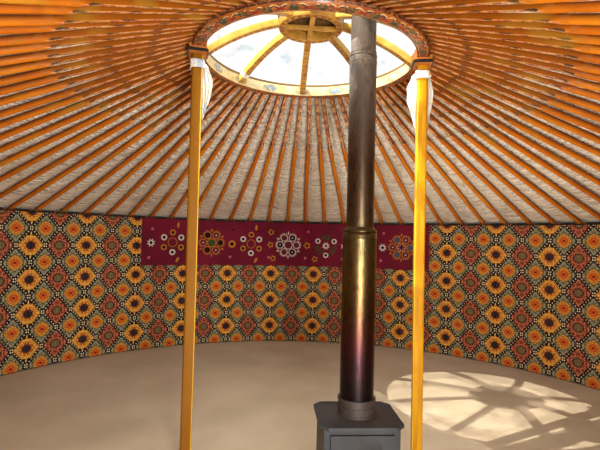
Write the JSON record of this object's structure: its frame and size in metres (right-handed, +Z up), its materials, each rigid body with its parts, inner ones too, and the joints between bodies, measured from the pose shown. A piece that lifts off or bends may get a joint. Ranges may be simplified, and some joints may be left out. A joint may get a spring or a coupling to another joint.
{
  "type": "round felt tent with lattice wall",
  "caption": "Round felt tent with a crossing lattice wall, straight roof poles, an arched crown wheel on two posts, a patterned lining and a stove with its flue.",
  "frame": {"origin": "centre of the ground circle, on the surface the deck rests on", "axes": "+Z up, +Y from the doorway towards the back wall, +X to the right of someone who comes in"},
  "size_m": [6.3346, 6.3457, 3.38],
  "materials": {
    "deck_wood": "satin",
    "orange_wood": "satin",
    "yellow_wood": "satin",
    "lath_wood": "matte",
    "carpet": "matte",
    "pattern_cloth": "matte",
    "red_cloth": "matte",
    "pale_cloth": "matte",
    "canvas": "matte",
    "band_cloth": "matte",
    "clear_sheet": "gloss",
    "iron": "matte",
    "flue_steel": "satin",
    "cord": "matte",
    "scarf_cloth": "satin"
  },
  "bodies": {
    "root": {"floor_deck": "deck_wood", "carpet": "carpet", "wall_lining": "pattern_cloth", "wall_hanging": "red_cloth", "wall_lattice_1": "lath_wood", "wall_lattice_2": "lath_wood", "wall_lattice_3": "lath_wood", "wall_lattice_4": "lath_wood", "wall_lattice_5": "lath_wood", "wall_cover_1": "canvas", "wall_cover_2": "canvas", "wall_cover_3": "canvas", "wall_cover_4": "canvas", "wall_cover_5": "canvas", "wall_cover_6": "canvas", "roof_cover_1": "canvas", "roof_cover_2": "canvas", "roof_cover_3": "canvas", "roof_cover_4": "canvas", "girth_bands": "band_cloth", "roof_straps": "band_cloth", "pole_ties": "cord", "saddle_lashings": "cord", "post_scarves": "scarf_cloth", "spoke_scarf": "scarf_cloth", "door_frame": "orange_wood", "door_leaf_left": "orange_wood", "door_leaf_right": "orange_wood", "roof_poles_1": "orange_wood", "roof_poles_2": "orange_wood", "roof_poles_3": "orange_wood", "roof_poles_4": "orange_wood", "roof_poles_5": "orange_wood", "roof_poles_6": "orange_wood", "roof_poles_7": "orange_wood", "roof_poles_8": "orange_wood", "crown_ring": "orange_wood", "post_saddles": "orange_wood", "door_hinges": "iron", "door_pulls": "iron", "flue_collar": "iron", "flue_flashing": "iron", "stove_body": "iron", "stove_top": "iron", "stove_door": "iron", "flue_bands": "iron", "flue_cap": "iron", "roof_lining": "pale_cloth", "crown_hoop": "yellow_wood", "crown_spokes": "yellow_wood", "crown_hub": "yellow_wood", "hub_cross": "yellow_wood", "crown_posts": "yellow_wood", "crown_glazing": "clear_sheet", "flue_lower": "flue_steel", "flue_upper": "flue_steel"}
  },
  "joints": []
}
